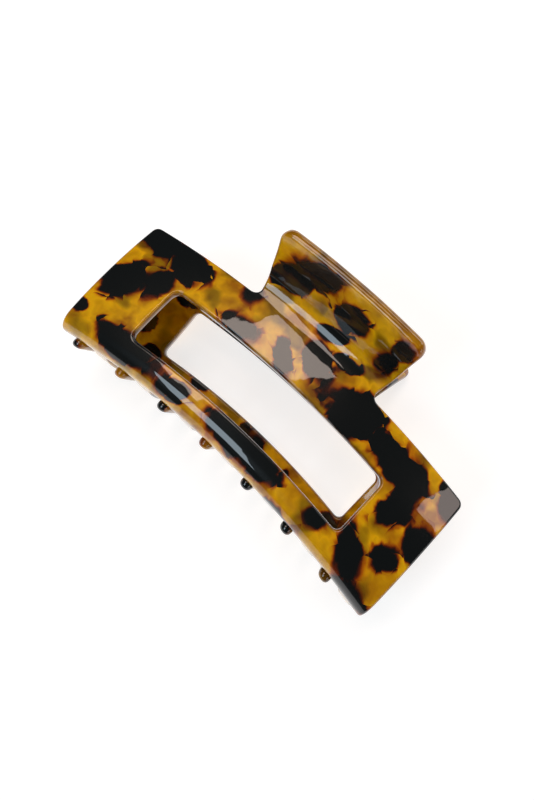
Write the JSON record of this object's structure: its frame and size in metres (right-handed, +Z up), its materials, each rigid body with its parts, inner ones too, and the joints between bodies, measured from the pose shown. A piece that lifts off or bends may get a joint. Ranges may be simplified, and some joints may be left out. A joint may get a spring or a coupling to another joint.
{
  "type": "claw clip",
  "caption": "Large rectangular open-frame claw clip: two arched tortoiseshell jaws with long windows, flared handles and interleaving teeth, on a sprung hinge.",
  "frame": {"origin": "centre of the footprint, on the surface that the closed clip lies on, with the rear jaw underneath", "axes": "+X along the hinge pin and the clip's length, +Y from the teeth towards the handles, +Z up, from the rear jaw to the front jaw"},
  "size_m": [0.105, 0.0632, 0.0464],
  "materials": {
    "tortoise_acetate": "polished cellulose acetate, honey with near-black and brown patches, slightly translucent",
    "steel": "bright drawn spring steel"
  },
  "bodies": {
    "rear_half": {"rear_jaw": "tortoise_acetate", "rear_lug_left": "tortoise_acetate", "rear_lug_right": "tortoise_acetate", "hinge_pin": "steel", "torsion_spring": "steel"},
    "front_half": {"front_jaw": "tortoise_acetate", "front_lug_left": "tortoise_acetate", "front_lug_right": "tortoise_acetate"}
  },
  "joints": [
    {"name": "jaw_hinge", "type": "hinge", "parent": "rear_half", "child": "front_half", "pos_m": [0, 0.00735, 0.02016], "axis": [-1, 0, 0], "range_deg": [0, 70], "stiffness_Nm_per_rad": 0.06, "springref_deg": -51.57, "deforming": ["torsion_spring"]}
  ]
}
